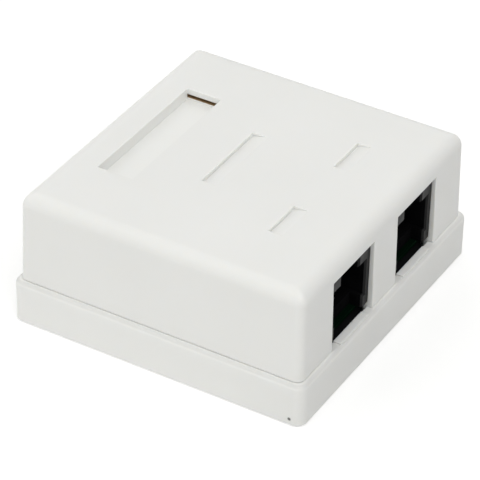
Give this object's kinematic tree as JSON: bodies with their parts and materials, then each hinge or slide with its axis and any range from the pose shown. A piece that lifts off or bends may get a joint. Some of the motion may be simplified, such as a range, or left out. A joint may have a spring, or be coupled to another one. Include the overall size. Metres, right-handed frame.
{
  "type": "surface mount jack box",
  "caption": "Low square wall box with a lift-off cover over a base tray, holding modular plug jacks on a circuit board with wire terminals behind them.",
  "frame": {"origin": "middle of the base tray's underside", "axes": "+X across the two ports, ports facing -Y, +Z from the wall face towards the cover's top"},
  "size_m": [0.065, 0.0624, 0.028],
  "materials": {
    "white_shell": "satin moulded plastic, white",
    "black_jack": "semi-gloss moulded plastic, black",
    "contact_gold": "gold plated wire",
    "board": "green solder mask over glass laminate",
    "screw_steel": "bright zinc plate",
    "terminal_block": "moulded plastic, ivory white",
    "terminal_tin": "tin plated spring bronze"
  },
  "bodies": {
    "base": {"base_tray": "white_shell", "circuit_board": "board", "board_screws": "screw_steel", "left_jack_housing": "black_jack", "right_jack_housing": "black_jack", "left_contact_carrier": "black_jack", "right_contact_carrier": "black_jack", "left_contact_wires": "contact_gold", "right_contact_wires": "contact_gold", "left_outer_idc_block": "terminal_block", "left_inner_idc_block": "terminal_block", "right_inner_idc_block": "terminal_block", "right_outer_idc_block": "terminal_block", "left_outer_idc_contacts": "terminal_tin", "left_inner_idc_contacts": "terminal_tin", "right_inner_idc_contacts": "terminal_tin", "right_outer_idc_contacts": "terminal_tin"},
    "cover": {"cover": "white_shell"}
  },
  "joints": [
    {"name": "cover_lift", "type": "slide", "parent": "base", "child": "cover", "axis": [0, 0, 1], "range_m": [0, 0.045]}
  ]
}
